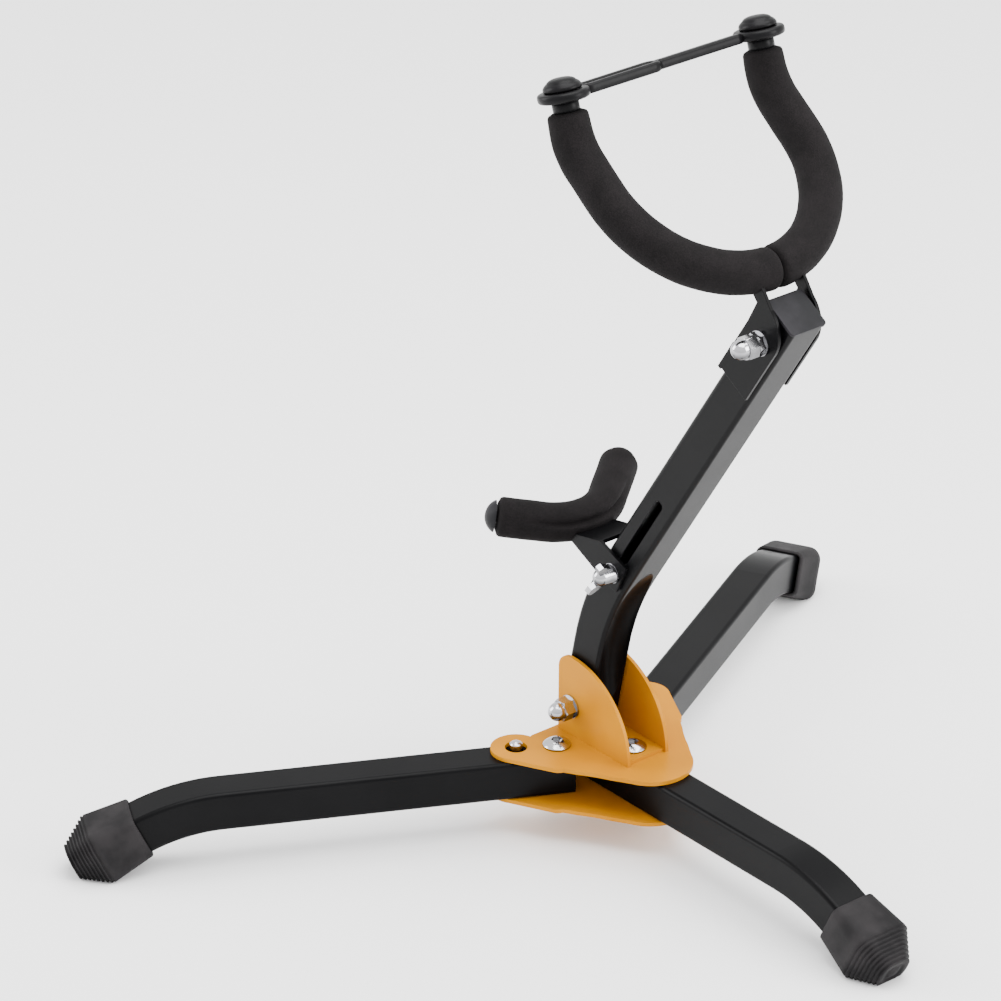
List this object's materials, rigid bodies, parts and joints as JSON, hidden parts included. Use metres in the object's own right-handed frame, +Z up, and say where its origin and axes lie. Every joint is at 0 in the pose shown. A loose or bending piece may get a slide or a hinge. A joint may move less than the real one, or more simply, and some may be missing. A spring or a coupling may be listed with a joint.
{
  "type": "saxophone stand",
  "caption": "Folding saxophone stand: a two-plate hub with swinging legs, a leaning mast, a sliding foam bell rest and a padded U-shaped yoke with a rubber strap.",
  "frame": {"origin": "on the floor, under the middle of the stand's bounding box; the hub's middle, where the legs' centrelines meet, is 36.3 mm in front of it", "axes": "+Z up; +X out along the fixed rear leg, away from the player; -Y is the player's right, the side of the wing nut and acorn nuts"},
  "size_m": [0.3333, 0.482, 0.4093],
  "materials": {
    "enamel": "gloss orange-yellow enamel",
    "black_coat": "satin black powder coat",
    "foot_rubber": "matt moulded rubber",
    "cap_plastic": "fine-grained moulded plastic",
    "foam": "closed-cell foam, fine open pores on its skin",
    "strap_rubber": "semi-gloss moulded rubber",
    "spring_steel": "blued spring strip",
    "bush_steel": "turned, zinc plated",
    "bright_zinc": "bright zinc and chrome plate"
  },
  "bodies": {
    "hub": {"top_plate": "enamel", "bottom_plate": "enamel", "rear_leg_tube": "black_coat", "rear_foot": "foot_rubber", "mast_bracket": "enamel", "bracket_bolt": "bright_zinc", "bracket_screw": "bright_zinc", "bracket_nuts": "bright_zinc", "hub_spacers": "bush_steel", "right_pivot_bolt": "bright_zinc", "left_pivot_bolt": "bright_zinc", "right_pivot_nut": "bright_zinc", "left_pivot_nut": "bright_zinc", "mast_pivot_bolt": "bright_zinc", "mast_pivot_washers": "bright_zinc", "mast_acorn_nut": "bright_zinc"},
    "right_leg": {"right_leg_tube": "black_coat", "right_foot": "foot_rubber", "right_leg_bush": "bush_steel", "right_lock_spring": "spring_steel"},
    "right_button": {"right_snap_button": "bright_zinc"},
    "left_leg": {"left_leg_tube": "black_coat", "left_foot": "foot_rubber", "left_leg_bush": "bush_steel", "left_lock_spring": "spring_steel"},
    "left_button": {"left_snap_button": "bright_zinc"},
    "mast": {"mast_tube": "black_coat", "mast_end_cap": "cap_plastic", "mast_foot_bush": "bush_steel", "mast_head_bush": "bush_steel"},
    "bell_rest": {"bell_bracket": "black_coat", "bell_rod": "black_coat", "bell_foam": "foam", "bell_right_cap": "cap_plastic", "bell_left_cap": "cap_plastic", "bell_bolt": "bright_zinc", "bell_washers": "bright_zinc"},
    "wing_nut": {"wing_nut": "bright_zinc"},
    "yoke": {"yoke_bracket": "black_coat", "yoke_rod": "black_coat", "yoke_right_foam": "foam", "yoke_left_foam": "foam", "right_knob": "strap_rubber", "left_knob": "strap_rubber", "security_strap": "strap_rubber", "yoke_bolt": "bright_zinc", "yoke_washers": "bright_zinc", "yoke_jam_nut": "bright_zinc", "yoke_acorn_nut": "bright_zinc"}
  },
  "joints": [
    {"name": "right_leg_swing", "type": "hinge", "parent": "hub", "child": "right_leg", "pos_m": [-0.0473, -0.0246, 0.03], "axis": [0, 0, 1], "range_deg": [0, 113], "deforming": ["right_snap_button"]},
    {"name": "left_leg_swing", "type": "hinge", "parent": "hub", "child": "left_leg", "pos_m": [-0.0473, 0.0246, 0.03], "axis": [0, 0, 1], "range_deg": [-113, 0], "deforming": ["left_snap_button"]},
    {"name": "right_button_press", "type": "slide", "parent": "right_leg", "child": "right_button", "axis": [0, 0, -1], "range_m": [0, 0.0055], "stiffness_N_per_m": 900, "springref_m": -0.004, "deforming": ["right_lock_spring"]},
    {"name": "left_button_press", "type": "slide", "parent": "left_leg", "child": "left_button", "axis": [0, 0, -1], "range_m": [0, 0.0055], "stiffness_N_per_m": 900, "springref_m": -0.004, "deforming": ["left_lock_spring"]},
    {"name": "mast_fold", "type": "hinge", "parent": "hub", "child": "mast", "pos_m": [-0.0508, 0, 0.0578], "axis": [0, 1, 0], "range_deg": [0, 66]},
    {"name": "bell_rest_slide", "type": "slide", "parent": "mast", "child": "bell_rest", "axis": [0.5329, 0, 0.8462], "range_m": [0, 0.054]},
    {"name": "wing_nut_spin", "type": "hinge", "parent": "bell_rest", "child": "wing_nut", "pos_m": [-0.02249, -0.0146, 0.14183], "axis": [0, -1, 0], "continuous": true},
    {"name": "yoke_fold", "type": "hinge", "parent": "mast", "child": "yoke", "pos_m": [0.07556, 0, 0.29753], "axis": [0, 1, 0], "range_deg": [0, 86]}
  ]
}
